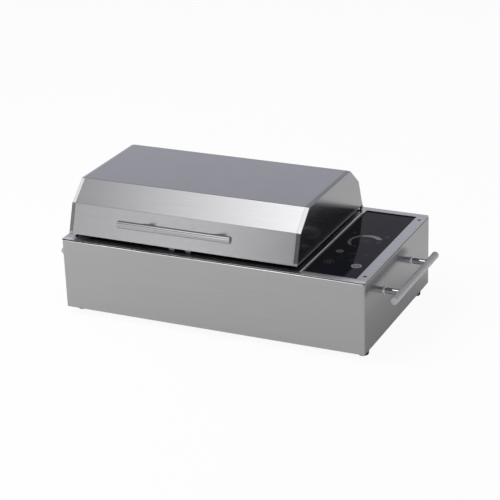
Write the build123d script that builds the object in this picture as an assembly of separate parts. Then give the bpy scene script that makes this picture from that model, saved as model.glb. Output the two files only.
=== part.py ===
from build123d import *
import math
import os

# Electric table grill with a hinged lid, a deep housing and a glass touch panel.
# All sizes are millimetres. Heights count from the housing's bottom edge; the
# finished model is lifted by the height of the feet when it is written.

# Housing
housing_width = 533.4
housing_depth = 303.5
housing_height = 119.9
sheet = 1.2
corner_radius = 3.5
bend_radius = 1.4
bottom_flange = 26.0
end_flange = 10.0
panel_flange = 14.0
housing_fit = 0.3

# Frame plate that closes the housing's top
seam_height = 1.3
seam_setback = 0.5
seam_width = 6.0
frame_sheet = 1.2
frame_edge_radius = 0.5
well_margin = 14.25
well_left_margin = 14.7
well_corner = 6.0
strip_width = 9.7

# Glass control panel
panel_width = 88.6
panel_right_margin = 17.9
panel_end_margin = 13.45
panel_corner = 1.5
glass_thickness = 4.0
glass_bevel = 0.4
glass_lap = 3.0
glass_seal_height = 0.5
glass_seal_lap = 0.3
carrier_wall = 2.0
carrier_depth = 12.0
carrier_inset = 0.4
carrier_corner = 3.0
carrier_ear_width = 12.0
carrier_ear_height = 3.0
carrier_boss_radius = 3.0
ribbon_slot_length = 24.0
ribbon_slot_width = 8.0
touch_board_drop = 6.0
touch_board_inset = 3.0
touch_board_end_inset = 6.0
touch_boss_inset = 8.0
touch_boss_end_inset = 14.0
touch_key_radius = 4.0
display_width = 36.0
display_length = 28.0
display_shift_x = 13.0
display_shift_y = 10.0
display_air = 1.0
board_thickness = 1.6
board_corner = 2.0

# Cooking well and what lies in it
well_sheet = 1.0
well_flange = 5.0
ledge_width = 8.0
ledge_drop = 9.2
well_depth = 81.0
well_floor_corner = 18.0
well_floor_bend = 6.0
tray_gap = 8.0
tray_height = 30.0
tray_sheet = 0.8
tray_rim = 4.0
tray_bend = 3.0
element_radius = 3.25
element_pitch = 56.0
element_runs = 4
element_drop = 12.0
element_end_gap = 26.0
element_lead = 20.0
element_tab_length = 8.0
element_tab_step = 1.0
element_tab_bore_start = 2.0
bush_wall = 3.0
bush_collar = 2.0
bush_reach = 3.0
bush_fit = 0.05
support_height = 8.0
support_thickness = 2.0
support_saddle_width = 10.0
sensor_radius = 2.0
sensor_bush_wall = 1.5
sensor_drop = 21.0
sensor_reach = 80.0
sensor_tail = 12.0
limiter_radius = 8.0
limiter_height = 4.5
limiter_lug_radius = 2.5
limiter_lug_reach = 11.0
limiter_place_y = 28.0
limiter_rise = 40.0
under_shield_sheet = 1.0
under_shield_air = 10.0
under_shield_inset = 20.0
under_shield_end_inset = 10.0
under_shield_leg_inset = 30.0
under_shield_toe = 12.0
heat_shield_air = 2.0
heat_shield_foot = 9.0
shield_hole_air = 3.0

# Grate
grate_gap = 2.0
grate_rim = 8.0
grate_rim_height = 9.0
grate_rim_round = 1.5
grate_web_height = 6.0
rib_height = 4.5
rib_width = 6.0
rib_pitch = 13.0
rib_chamfer = 1.2
rib_end_gap = 3.0
cross_bar_width = 7.0
cross_bars = 3
lift_slot_length = 44.0
lift_slot_width = 5.0

# Lid
lid_gap = 7.5
lid_height = 79.3
lid_break_height = 48.4
lid_break_inset = 16.8
lid_top_inset = 53.5
lid_front_overlap = 4.5
lid_left_overlap = 5.4
lid_right_overlap = 0.7
lid_fold_radius = 2.0
lid_band_width = 6.5
lid_band_drop = 0.8
lid_band_foot = 3.6
lid_seam = 0.3
lid_lap = 8.0
rest_tab_width = 10.0
rest_tab_spacing = 29.4
rest_tab_thickness = 2.4
rest_tab_height = 3.0
rest_tab_rise = 9.0
rest_tab_toe = 1.0
rest_foot_inset = 1.0
rest_foot_setback = 0.2
rest_foot_round = 0.6
rest_foot_clearance = 0.3

# Lid hinge
hinge_inset = 3.0
hinge_drop = 2.7
pin_radius = 1.5
pin_clearance = 0.05
pin_head_radius = 2.8
pin_head_height = 1.2
pin_tail = 0.8
ear_radius = 3.6
ear_root = 1.5
hinge_tab_radius = 2.8
hinge_tab_thickness = 2.0
hinge_tab_setback = 0.1
hinge_side_clearance = 0.3
hinge_relief = 0.5

# Bar handles
bar_radius = 6.0
bar_length = 200.0
bar_reach = 29.0
bar_chamfer = 0.7
post_radius = 5.0
post_spacing = 128.0
post_collar_radius = 5.7
post_collar_height = 1.4
post_collar_chamfer = 0.4
handle_screw_radius = 2.5
handle_screw_grip = 12.0
handle_screw_head = 4.4
handle_screw_head_height = 2.8
handle_screw_socket = 1.6
screw_hole_clearance = 0.2
side_handle_height = 75.3
lid_handle_height = 27.1

# Feet and the screws of the base plate
foot_height = 12.0
foot_radius = 9.8
foot_taper = 0.9
foot_side_inset = 14.0
foot_end_inset = 30.0
foot_recess_radius = 4.6
foot_recess_depth = 6.0
foot_screw_radius = 2.0
foot_screw_head = 4.2
foot_screw_head_height = 2.8
foot_screw_socket = 1.3
base_screw_head = 3.4
base_screw_head_height = 1.8
base_screw_socket = 1.1
base_screw_tail = 5.0
base_nut_size = 4.0
base_nut_height = 3.0

# Screws of the frame
frame_screw_radius = 1.6
frame_screw_head = 3.0
frame_screw_length = 9.0
frame_screw_socket = 1.5
frame_screw_socket_depth = 1.0
frame_screw_spacing = 251.0
frame_screw_inset = 8.7
frame_screw_left_inset = 4.9
frame_nut_size = 3.2
frame_nut_height = 3.0
rear_screw_spacing = 150.0
carrier_screw_head = 2.8
carrier_screw_head_height = 1.8
carrier_screw_socket = 1.0

# Cord entry and mains terminal
gland_shift = 1.5
gland_height = 38.0
gland_bore = 4.25
gland_thread = 7.5
gland_collar = 10.5
gland_collar_height = 4.0
gland_cap = 8.8
gland_reach = 14.0
gland_inner_reach = 14.0
gland_wall_hole = 7.8
gland_nut_height = 5.0
block_gap = 32.25
block_width = 40.0
block_length = 15.0
block_height = 18.0
block_pole_pitch = 12.0
block_screw_hole = 3.0
block_screw_depth = 5.0
block_wire_drop = 9.0
wire_radius = 1.3
wire_bend = 1.6
wire_seat = 3.0
earth_stud_radius = 2.0
earth_stud_length = 12.0
earth_stud_offset = 40.0
earth_stud_gap = 30.0
earth_nut_rise = 3.0
earth_washer_radius = 5.0

# Power board and its parts, whose places count from the board's middle
power_board_length = 110.0
power_board_width = 62.0
power_board_gap = 121.75
standoff_height = 12.0
standoff_size = 3.2
standoff_inset = 5.0
standoff_screw_radius = 1.6
standoff_head = 2.8
relay_length = 20.0
relay_width = 16.0
relay_height = 17.0
relay_x = -16.0
relay_pitch = 24.0
relay_middle_y = -12.0
transformer_x = 13.0
transformer_y = -19.0
core_width = 22.0
core_length = 30.0
core_height = 20.0
coil_width = 18.0
coil_length = 38.0
coil_height = 14.0
capacitor_radius = 5.5
capacitor_height = 20.0
capacitor_x = 13.0
capacitor_y = 14.0
capacitor_pitch = 14.0
terminal_row_x = -8.0
terminal_row_width = 24.0
terminal_row_length = 10.0
terminal_row_height = 12.0
terminal_row_inset = 4.0
terminal_pitch = 8.0
terminal_screw_hole = 2.0
terminal_screw_depth = 3.0
terminal_wire_height = 5.0
wire_spread = 26.0
ribbon_offset = 31.0
ribbon_width = 18.0
ribbon_thickness = 0.8
vent_count = 7
vent_length = 46.0
vent_width = 4.0
vent_front_offset = -125.0
vent_rear_offset = 10.0

# Worked-out places
half_width = housing_width / 2
half_depth = housing_depth / 2
seam_low = housing_height
frame_low = seam_low + seam_height
frame_top = frame_low + frame_sheet
panel_right = half_width - panel_right_margin
panel_left = panel_right - panel_width
panel_middle = (panel_left + panel_right) / 2
panel_end = half_depth - panel_end_margin
well_left = -half_width + well_left_margin
well_right = panel_left - strip_width
well_end = half_depth - well_margin
ledge_top = frame_low - ledge_drop
well_floor = ledge_top - well_depth
pit_left = well_left + ledge_width
pit_right = well_right - ledge_width
pit_end = well_end - ledge_width
glass_top = frame_low - glass_seal_height
glass_low = glass_top - glass_thickness
floor_top = 2 * sheet
lid_left = well_left - lid_left_overlap
lid_right = well_right + lid_right_overlap
lid_middle = (lid_left + lid_right) / 2
lid_end = well_end + lid_front_overlap
lid_low = frame_top + lid_gap
pin_y = lid_end - hinge_inset
pin_z = lid_low - hinge_drop
element_z = ledge_top - element_drop
element_out = pit_right + well_sheet + element_lead
bush_radius = element_radius + bush_wall
sensor_z = ledge_top - sensor_drop
sensor_bush_radius = sensor_radius + sensor_bush_wall
carrier_left = panel_left - glass_lap + carrier_inset
carrier_right = panel_right + glass_lap - carrier_inset
carrier_end = panel_end + glass_lap - carrier_inset
carrier_low = glass_low - carrier_depth
carrier_screw_y = half_depth - end_flange / 2
touch_board_top = glass_low - touch_board_drop
shield_x = well_right + well_sheet + heat_shield_air
board_x = panel_middle
gland_x = panel_middle + gland_shift
board_y = half_depth - power_board_gap
board_low = floor_top + standoff_height
board_top = board_low + board_thickness
ribbon_y = board_y + ribbon_offset
block_y = half_depth - block_gap - block_length / 2
screw_hole = frame_screw_radius + screw_hole_clearance
foot_screw_hole = foot_screw_radius + screw_hole_clearance
handle_screw_hole = handle_screw_radius + screw_hole_clearance

# The lid's front panel leans back by this angle
lean = math.atan2(lid_break_inset, lid_break_height)
lid_panel_out = Vector(0, -math.cos(lean), math.sin(lean))
lid_handle_y = -lid_end + lid_handle_height * math.tan(lean)
lid_bar_y = lid_handle_y + bar_reach * lid_panel_out.Y

# The finished model stands on its feet with the middle of its box at the origin
front_reach = lid_bar_y - bar_radius
rear_reach = half_depth + gland_reach
middle_y = (front_reach + rear_reach) / 2
stand = Pos(0, -middle_y, foot_height)

# How far a cutting shape runs past what it cuts
past = 1.0
far_past = 50.0


def block(x, y, z):
    # A box between two values on each axis
    centre = Pos((x[0] + x[1]) / 2, (y[0] + y[1]) / 2, (z[0] + z[1]) / 2)
    return centre * Box(x[1] - x[0], y[1] - y[0], z[1] - z[0])


def slab(x, y, z, radius):
    # An upright plate with rounded corners
    sketch = RectangleRounded(x[1] - x[0], y[1] - y[0], radius)
    return Pos((x[0] + x[1]) / 2, (y[0] + y[1]) / 2, z[0]) * extrude(sketch, z[1] - z[0])


def rod(radius, start, end):
    # A round bar from one point to another
    run = Vector(*end) - Vector(*start)
    base = Plane(origin=start, z_dir=run)
    return base * Cylinder(radius, run.length, align=(Align.CENTER, Align.CENTER, Align.MIN))


def post(radius, x, y, z):
    # An upright round bar
    return rod(radius, (x, y, z[0]), (x, y, z[1]))


def around(middle, width):
    return (middle - width / 2, middle + width / 2)


def spread(half):
    return (-half, half)


def wire(radius, points, bends):
    path = FilletPolyline(*points, radius=bends)
    section = Plane(origin=path @ 0, z_dir=path % 0) * Circle(radius)
    return sweep(section, path=path)


def hex_nut(x, y, z, bore, size, height):
    nut = Pos(x, y, z) * extrude(RegularPolygon(size, 6), height)
    return nut - post(bore, x, y, (z - past, z + height + past))


def socket_screw(x, y, seat, tip, radius, head, head_height, socket):
    # A screw that stands up from its rounded head, with a hexagon socket below
    low = seat - head_height
    cap = post(head, x, y, (low, seat))
    cap = fillet(cap.edges().group_by(Axis.Z)[0], head_height * 0.38)
    hexagon = Pos(x, y, low) * extrude(RegularPolygon(socket, 6), head_height * 0.6)
    return cap + post(radius, x, y, (seat, tip)) - hexagon


def save(name, *solids):
    pieces = [solid for shape in solids for solid in shape.solids()]
    whole = pieces[0] if len(pieces) == 1 else Compound(pieces)
    export_step(stand * whole, f"parts/{name}.step")


# Where the fasteners are


def frame_screw_places():
    side = frame_screw_spacing / 2
    rear_y = half_depth - end_flange / 2
    right = [(half_width - frame_screw_inset, y) for y in spread(side)]
    left = [(-half_width + frame_screw_left_inset, y) for y in spread(side)]
    rear = [(lid_middle + x, rear_y) for x in (-rear_screw_spacing, 0, rear_screw_spacing)]
    return right + left + rear


def carrier_screw_places():
    return [(panel_middle + x, side) for x in spread(panel_width / 3) for side in (-1, 1)]


def foot_places():
    x = half_width - foot_side_inset
    y = half_depth - foot_end_inset
    return [(sx * x, sy * y) for sx in (-1, 1) for sy in (-1, 1)]


def base_screw_places():
    x = half_width - foot_side_inset
    y = half_depth - bottom_flange / 2
    ends = [(sx * x, 0) for sx in (-1, 1)]
    return ends + [(sx * x / 2, sy * y) for sx in (-1, 1) for sy in (-1, 1)]


# Housing: four folded panels, welded at their mitred corners and ground smooth


def housing_ring():
    outer = slab(spread(half_width), spread(half_depth), (0, housing_height), corner_radius)
    by_height = outer.edges().group_by(Axis.Z)
    outer = fillet(by_height[-1] + by_height[0], bend_radius)
    inside = slab(
        spread(half_width - sheet), spread(half_depth - sheet),
        (sheet, housing_height - sheet), corner_radius - sheet)
    mouth = slab(
        (-half_width + end_flange, half_width - panel_flange), spread(half_depth - end_flange),
        (housing_height / 2, housing_height + past), corner_radius)
    under = slab(
        spread(half_width - bottom_flange), spread(half_depth - bottom_flange),
        (-past, housing_height / 2), corner_radius)
    ring = outer - inside - mouth - under
    top = (housing_height - 2 * sheet, housing_height + past)
    for x, y in frame_screw_places():
        ring -= post(screw_hole, x, y, top)
    for x, side in carrier_screw_places():
        ring -= post(screw_hole, x, side * carrier_screw_y, top)
    for x, y in foot_places() + base_screw_places():
        ring -= post(foot_screw_hole, x, y, (-past, 2 * sheet))
    for y in spread(post_spacing / 2):
        ring -= rod(
            handle_screw_hole, (-half_width - past, y, side_handle_height),
            (half_width + past, y, side_handle_height))
    return ring - rod(
        gland_wall_hole, (gland_x, half_depth - 2 * sheet, gland_height),
        (gland_x, half_depth + past, gland_height))


def housing_panels():
    # The mitre planes run from each corner at 45 degrees to the middle of the depth
    x = half_width + past
    y = half_depth + past
    ridge = half_width - half_depth
    regions = {
        "housing_front": [(-x, -y), (x, -y), (ridge, 0), (-ridge, 0)],
        "housing_back": [(x, y), (-x, y), (-ridge, 0), (ridge, 0)],
        "housing_right": [(x, -y), (x, y), (ridge, 0)],
        "housing_left": [(-x, y), (-x, -y), (-ridge, 0)]}
    ring = housing_ring()
    panels = {}
    for name, corners in regions.items():
        outline = make_face(Polyline(*corners, close=True))
        wedge = Pos(0, 0, -past) * extrude(outline, housing_height + 2 * past)
        panels[name] = ring & wedge
    return panels


def base_plate():
    plate = slab(
        spread(half_width - sheet - housing_fit), spread(half_depth - sheet - housing_fit),
        (sheet, floor_top), corner_radius - sheet)
    for x, y in foot_places() + base_screw_places():
        plate -= post(foot_screw_hole, x, y, (0, floor_top + past))
    for i in range(vent_count):
        x = board_x + (i - (vent_count - 1) / 2) * 2.5 * vent_width
        for offset_y in (vent_front_offset, vent_rear_offset):
            slot = SlotOverall(vent_length, vent_width, rotation=90)
            plate -= Pos(x, board_y + offset_y, 0) * extrude(slot, floor_top + past)
    return plate


def foot(x, y):
    body = Pos(x, y, -foot_height) * Cone(
        foot_radius - foot_taper, foot_radius, foot_height, align=(Align.CENTER, Align.CENTER, Align.MIN))
    body = fillet(body.edges().group_by(Axis.Z)[0], foot_taper)
    body -= post(foot_recess_radius, x, y, (-foot_height - past, -foot_height + foot_recess_depth))
    return body - post(foot_screw_radius, x, y, (-foot_height, past))


def foot_screw(x, y):
    return socket_screw(
        x, y, -foot_height + foot_recess_depth, floor_top + base_screw_tail, foot_screw_radius,
        foot_screw_head, foot_screw_head_height, foot_screw_socket)


def base_screw(x, y):
    return socket_screw(
        x, y, 0, floor_top + base_screw_tail, foot_screw_radius,
        base_screw_head, base_screw_head_height, base_screw_socket)


# Frame plate with its seam gasket, screws and nuts


def countersink(x, y):
    return Pos(x, y, frame_low) * Cone(
        frame_screw_radius, frame_screw_head, frame_sheet, align=(Align.CENTER, Align.CENTER, Align.MIN))


def top_frame():
    plate = slab(spread(half_width), spread(half_depth), (frame_low, frame_top), corner_radius)
    plate = fillet(plate.edges().group_by(Axis.Z)[-1], frame_edge_radius)
    through = (frame_low - past, frame_top + past)
    plate -= slab((well_left, well_right), spread(well_end), through, well_corner)
    plate -= slab((panel_left, panel_right), spread(panel_end), through, panel_corner)
    for x, y in frame_screw_places():
        plate -= countersink(x, y)
    return plate


def frame_screw(x, y):
    shank = post(frame_screw_radius, x, y, (frame_top - frame_screw_length, frame_low))
    socket = extrude(RegularPolygon(frame_screw_socket, 6), frame_screw_socket_depth + past)
    return countersink(x, y) + shank - Pos(x, y, frame_top - frame_screw_socket_depth) * socket


def seam_gasket():
    outer = slab(
        spread(half_width - seam_setback), spread(half_depth - seam_setback),
        (seam_low, frame_low), corner_radius - seam_setback)
    inset = seam_setback + seam_width
    through = (seam_low - past, frame_low + past)
    ring = outer - slab(spread(half_width - inset), spread(half_depth - inset), through, past)
    for x, y in frame_screw_places():
        ring -= post(screw_hole, x, y, through)
    return ring


# Cooking well, its heating element, sensor and drip tray


def element_end_places():
    return spread((element_runs - 1) / 2 * element_pitch)


def cook_well():
    wall = well_sheet
    rim = slab(
        (well_left - wall - well_flange, well_right + wall + well_flange),
        spread(well_end + wall + well_flange), (seam_low, frame_low), well_corner)
    upper = slab(
        (well_left - wall, well_right + wall), spread(well_end + wall),
        (ledge_top - wall, frame_low), well_corner + wall)
    pit = slab(
        (pit_left - wall, pit_right + wall), spread(pit_end + wall),
        (well_floor - wall, ledge_top), well_floor_corner + wall)
    pit = fillet(pit.edges().group_by(Axis.Z)[0], well_floor_bend + wall)
    upper_room = slab(
        (well_left, well_right), spread(well_end), (ledge_top, frame_low + past), well_corner)
    pit_room = slab(
        (pit_left, pit_right), spread(pit_end), (well_floor, ledge_top + past), well_floor_corner)
    pit_room = fillet(pit_room.edges().group_by(Axis.Z)[0], well_floor_bend)
    well = rim + upper + pit - upper_room - pit_room
    through = (pit_right - wall, pit_right + 2 * wall)
    for y in element_end_places():
        well -= rod(bush_radius + bush_fit, (through[0], y, element_z), (through[1], y, element_z))
    return well - rod(sensor_bush_radius + bush_fit, (through[0], 0, sensor_z), (through[1], 0, sensor_z))


def heating_element():
    # Runs from side to side with a half-round turn at the end of each run
    left = pit_left + element_end_gap
    right = pit_right - element_end_gap
    first, last = element_end_places()
    points = [(element_out, first, element_z)]
    bends = []
    for i in range(element_runs - 1):
        x = left if i % 2 == 0 else right
        for y in (first + i * element_pitch, first + (i + 1) * element_pitch):
            points.append((x, y, element_z))
            bends.append(element_pitch / 2 - 0.01)
    points.append((element_out, last, element_z))
    return wire(element_radius, points, bends)


def bush(y, z, radius, bore):
    # A ceramic sleeve in the well's wall, with a collar outside
    outer_wall = pit_right + well_sheet
    inner = pit_right - bush_reach
    outer = outer_wall + bush_reach
    sleeve = rod(radius, (inner, y, z), (outer, y, z))
    sleeve += rod(radius + bush_collar, (outer_wall, y, z), (outer, y, z))
    return sleeve - rod(bore, (inner - past, y, z), (outer + past, y, z))


def well_bushes():
    element = [bush(y, element_z, bush_radius, element_radius + bush_fit) for y in element_end_places()]
    return element + [bush(0, sensor_z, sensor_bush_radius, sensor_radius + bush_fit)]


def element_terminals():
    # Crimped tabs on the element's two cold ends
    bore_start = element_out + element_tab_bore_start
    end = element_out + element_tab_length
    tabs = []
    for y in element_end_places():
        tab = rod(element_radius - element_tab_step, (element_out, y, element_z), (end, y, element_z))
        tabs.append(tab - rod(wire_radius, (bore_start, y, element_z), (end + past, y, element_z)))
    return tabs


def element_supports():
    # Two bars across the pit, each with saddles under the middle runs
    top = element_z - element_radius
    height = (top - support_height, top)
    bars = []
    for middle in spread((pit_right - pit_left) / 4):
        x = (pit_left + pit_right) / 2 + middle
        bar = block(around(x, support_thickness), spread(pit_end), height)
        for y in spread(element_pitch / 2):
            bar += block(around(x, support_saddle_width), around(y, support_thickness), height)
        bars.append(bar)
    return bars


def temperature_sensor():
    tail = (pit_right + well_sheet + sensor_tail, 0, sensor_z)
    tip = (pit_right - sensor_reach, 0, sensor_z)
    probe = rod(sensor_radius, tail, tip)
    return fillet(probe.edges().group_by(Axis.X)[0], sensor_radius / 2)


def thermal_limiter():
    # Snap disc that cuts the power if the well overheats, on the well's outer wall
    y = limiter_place_y
    z = well_floor + limiter_rise
    x = pit_right + well_sheet
    body = rod(limiter_radius, (x, y, z), (x + limiter_height, y, z))
    for side in (-1, 1):
        lug_y = y + side * limiter_lug_reach
        body += rod(limiter_lug_radius, (x, lug_y, z), (x + well_sheet, lug_y, z))
        body += block((x, x + well_sheet), sorted((lug_y, y)), around(z, 2 * limiter_lug_radius))
    return body


def drip_tray():
    x = (pit_left + tray_gap, pit_right - tray_gap)
    end = pit_end - tray_gap
    top = well_floor + tray_height
    corner = well_floor_corner - tray_gap / 2
    body = slab(x, spread(end), (well_floor, top), corner)
    body = fillet(body.edges().group_by(Axis.Z)[0], tray_bend + tray_sheet)
    rim = slab(
        (x[0] - tray_rim, x[1] + tray_rim), spread(end + tray_rim), (top - tray_sheet, top), well_floor_corner)
    room = slab(
        (x[0] + tray_sheet, x[1] - tray_sheet), spread(end - tray_sheet),
        (well_floor + tray_sheet, top + past), corner - tray_sheet)
    room = fillet(room.edges().group_by(Axis.Z)[0], tray_bend)
    return body + rim - room


def underfloor_shield():
    # A sheet between the well and the base plate, on two bent legs
    top = well_floor - well_sheet - under_shield_air
    x = (pit_left + under_shield_inset, pit_right - under_shield_inset)
    plate = slab(x, spread(pit_end - under_shield_end_inset), (top - under_shield_sheet, top), board_corner)
    leg_y = spread(pit_end - under_shield_leg_inset)
    for edge, inward in zip(x, (1, -1)):
        leg = sorted((edge, edge + inward * under_shield_sheet))
        toe = sorted((edge, edge + inward * under_shield_toe))
        plate += block(leg, leg_y, (floor_top, top))
        plate += block(toe, leg_y, (floor_top, floor_top + under_shield_sheet))
    return plate


def heat_shield():
    # An upright wall between the well and the power side, with a foot along the base plate
    x = (shield_x, shield_x + sheet)
    below_flange = (floor_top, housing_height - sheet - housing_fit)
    wall = block(x, spread(half_depth - sheet - housing_fit), below_flange)
    wall += block(x, spread(half_depth - end_flange - housing_fit), (floor_top, seam_low))
    wall += block((shield_x, shield_x + heat_shield_foot), spread(panel_end), (floor_top, floor_top + sheet))
    holes = [(y, element_z, element_radius) for y in element_end_places()] + [(0, sensor_z, sensor_radius)]
    for y, z, radius in holes:
        wall -= rod(radius + shield_hole_air, (x[0] - past, y, z), (x[1] + past, y, z))
    return wall


def grate():
    x = (well_left + grate_gap, well_right - grate_gap)
    end = well_end - grate_gap
    top = ledge_top + grate_rim_height
    rib_base = ledge_top + grate_web_height
    rim = slab(x, spread(end), (ledge_top, top), well_corner - past)
    rim = fillet(rim.edges().group_by(Axis.Z)[-1], grate_rim_round)
    room_x = (x[0] + grate_rim, x[1] - grate_rim)
    room_end = end - grate_rim
    rim -= slab(room_x, spread(room_end), (rib_base, top + past), board_corner)
    count = int((room_x[1] - room_x[0] - rib_width) / rib_pitch)
    start = (room_x[0] + room_x[1]) / 2 - (count - 1) / 2 * rib_pitch
    bar_step = 2 * room_end / (cross_bars + 1)
    slots = []
    for i in range(count - 1):
        for k in range(cross_bars + 1):
            middle = Pos(start + (i + 0.5) * rib_pitch, -room_end + (k + 0.5) * bar_step)
            slots.append(middle * Rectangle(rib_pitch - rib_width, bar_step - cross_bar_width))
    plate = rim - Pos(0, 0, ledge_top - past) * extrude(Sketch() + slots, grate_web_height + 2 * past)
    ribs = []
    for i in range(count):
        rib = block(
            around(start + i * rib_pitch, rib_width), spread(room_end - rib_end_gap),
            (rib_base, rib_base + rib_height))
        ribs.append(chamfer(rib.edges().group_by(Axis.Z)[-1], rib_chamfer))
    plate += ribs
    for slot_x in (x[0] + grate_rim / 2, x[1] - grate_rim / 2):
        slot = SlotOverall(lift_slot_length, lift_slot_width, rotation=90)
        plate -= Pos(slot_x, 0, ledge_top - past) * extrude(slot, grate_rim_height + 2 * past)
    return plate


# Control panel


def control_glass():
    glass = slab(
        (panel_left - glass_lap, panel_right + glass_lap), spread(panel_end + glass_lap),
        (glass_low, glass_top), panel_corner)
    return chamfer(glass.edges().group_by(Axis.Z)[-1], glass_bevel)


def glass_seal():
    outer = slab(
        (panel_left - glass_lap, panel_right + glass_lap), spread(panel_end + glass_lap),
        (glass_top, frame_low), panel_corner)
    lap = glass_seal_lap
    return outer - slab(
        (panel_left + lap, panel_right - lap), spread(panel_end - lap),
        (glass_top - past, frame_low + past), panel_corner)


def touch_board_places():
    x = panel_width / 2 - touch_boss_inset
    y = panel_end - touch_boss_end_inset
    return [(panel_middle + sx * x, sy * y) for sx in (-1, 1) for sy in (-1, 1)]


def panel_carrier():
    # A tray that holds the glass up against the frame plate, with ears for its screws
    low = carrier_low
    body = slab((carrier_left, carrier_right), spread(carrier_end), (low, glass_low), carrier_corner)
    body -= slab(
        (carrier_left + carrier_wall, carrier_right - carrier_wall), spread(carrier_end - carrier_wall),
        (low + carrier_wall, glass_low + past), carrier_corner / 2)
    ear_low = glass_low - carrier_ear_height
    ear_top = housing_height - sheet
    for x, side in carrier_screw_places():
        ear_x = around(x, carrier_ear_width)
        outer = side * (half_depth - 2 * sheet)
        body += block(ear_x, sorted((side * (carrier_end - carrier_wall / 2), outer)), (ear_low, glass_low))
        pad = side * (half_depth - end_flange + housing_fit)
        body += block(ear_x, sorted((pad, outer)), (ear_low, ear_top))
        hole_y = side * carrier_screw_y
        body -= post(frame_screw_radius, x, hole_y, (ear_low - past, ear_top + past))
    for x, y in touch_board_places():
        body += post(carrier_boss_radius, x, y, (low + carrier_wall, touch_board_top - board_thickness))
    return body - block(
        around(board_x, ribbon_slot_length), around(ribbon_y, ribbon_slot_width),
        (low - past, low + carrier_wall + past))


def carrier_screw(x, side):
    return socket_screw(
        x, side * carrier_screw_y, glass_low - carrier_ear_height, housing_height, frame_screw_radius,
        carrier_screw_head, carrier_screw_head_height, carrier_screw_socket)


def touch_board():
    return slab(
        (panel_left + touch_board_inset, panel_right - touch_board_inset),
        spread(panel_end - touch_board_end_inset), (touch_board_top - board_thickness, touch_board_top),
        board_corner)


def touch_keys():
    # Spring pads that carry each touch spot up to the underside of the glass,
    # placed by shares of the panel's width and half length
    spots = [(-0.26, -0.28), (0.26, -0.62), (-0.26, -0.64), (0.30, -0.28), (-0.30, 0.34), (0.34, 0.34)]
    height = (touch_board_top, glass_low)
    return [
        post(touch_key_radius, panel_middle + across * panel_width, along * panel_end, height)
        for across, along in spots]


def display_module():
    return block(
        around(panel_middle + display_shift_x, display_width), around(display_shift_y, display_length),
        (touch_board_top, glass_low - display_air))


# Power side


def standoff_places():
    x = power_board_width / 2 - standoff_inset
    y = power_board_length / 2 - standoff_inset
    return [(board_x + sx * x, board_y + sy * y) for sx in (-1, 1) for sy in (-1, 1)]


def power_board():
    board = slab(
        around(board_x, power_board_width), around(board_y, power_board_length),
        (board_low, board_top), board_corner)
    for x, y in standoff_places():
        board -= post(standoff_screw_radius, x, y, (board_low - past, board_top + past))
    return board


def standoff(x, y):
    pillar = Pos(x, y, floor_top) * extrude(RegularPolygon(standoff_size, 6), standoff_height)
    shank = post(standoff_screw_radius, x, y, (board_low, board_top))
    return pillar + shank + post(standoff_head, x, y, (board_top, board_top + standoff_screw_radius))


def on_board(x, y, width, length, height):
    # A block on the power board, placed from the board's middle
    return block(around(board_x + x, width), around(board_y + y, length), (board_top, board_top + height))


def relays():
    bodies = []
    for shift in spread(relay_pitch / 2):
        body = on_board(relay_x, relay_middle_y + shift, relay_length, relay_width, relay_height)
        bodies.append(fillet(body.edges().filter_by(Axis.Z), past))
    return bodies


def transformer():
    core = on_board(transformer_x, transformer_y, core_width, core_length, core_height)
    return core + on_board(transformer_x, transformer_y, coil_width, coil_length, coil_height)


def capacitors():
    cans = []
    for shift in spread(capacitor_pitch / 2):
        x = board_x + capacitor_x + shift
        can = post(capacitor_radius, x, board_y + capacitor_y, (board_top, board_top + capacitor_height))
        cans.append(fillet(can.edges().group_by(Axis.Z)[-1], 0.8))
    return cans


def terminal_mouth(side):
    # The y of the face where the wires enter a terminal row
    return board_y + side * (power_board_length / 2 - terminal_row_inset)


def terminal_places():
    return [board_x + terminal_row_x + k * terminal_pitch for k in (-1, 0, 1)]


def board_terminals():
    rows = []
    wire_z = board_top + terminal_wire_height
    row_top = board_top + terminal_row_height
    for side in (-1, 1):
        mouth = terminal_mouth(side)
        middle = mouth - side * terminal_row_length / 2
        row = block(
            around(board_x + terminal_row_x, terminal_row_width), around(middle, terminal_row_length),
            (board_top, row_top))
        for x in terminal_places():
            row -= post(terminal_screw_hole, x, middle, (row_top - terminal_screw_depth, row_top + past))
            row -= rod(wire_radius, (x, mouth, wire_z), (x, mouth - side * wire_seat, wire_z))
        rows.append(row)
    return rows


def block_poles():
    return [gland_x + k * block_pole_pitch for k in (-1, 0, 1)]


def terminal_block():
    top = floor_top + block_height
    wire_z = top - block_wire_drop
    front = block_y - block_length / 2
    body = block(around(gland_x, block_width), around(block_y, block_length), (floor_top, top))
    for x in block_poles():
        body -= post(block_screw_hole, x, block_y - block_screw_hole, (top - block_screw_depth, top + past))
        body -= rod(wire_radius, (x, front - past, wire_z), (x, front + wire_seat, wire_z))
    return body


def mains_wires():
    # Three leads from the terminal block to the board
    start_y = block_y - block_length / 2 + wire_seat
    start_z = floor_top + block_height - block_wire_drop
    end_y = terminal_mouth(1) - wire_seat
    end_z = board_top + terminal_wire_height
    leads = []
    for block_x, terminal_x in zip(block_poles(), terminal_places()):
        points = [
            (block_x, start_y, start_z),
            (block_x, start_y - 8, start_z),
            (terminal_x, end_y + 9, end_z + 3),
            (terminal_x, end_y + 6, end_z),
            (terminal_x, end_y, end_z)]
        leads.append(wire(wire_radius, points, [wire_bend] * 3))
    return leads


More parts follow.
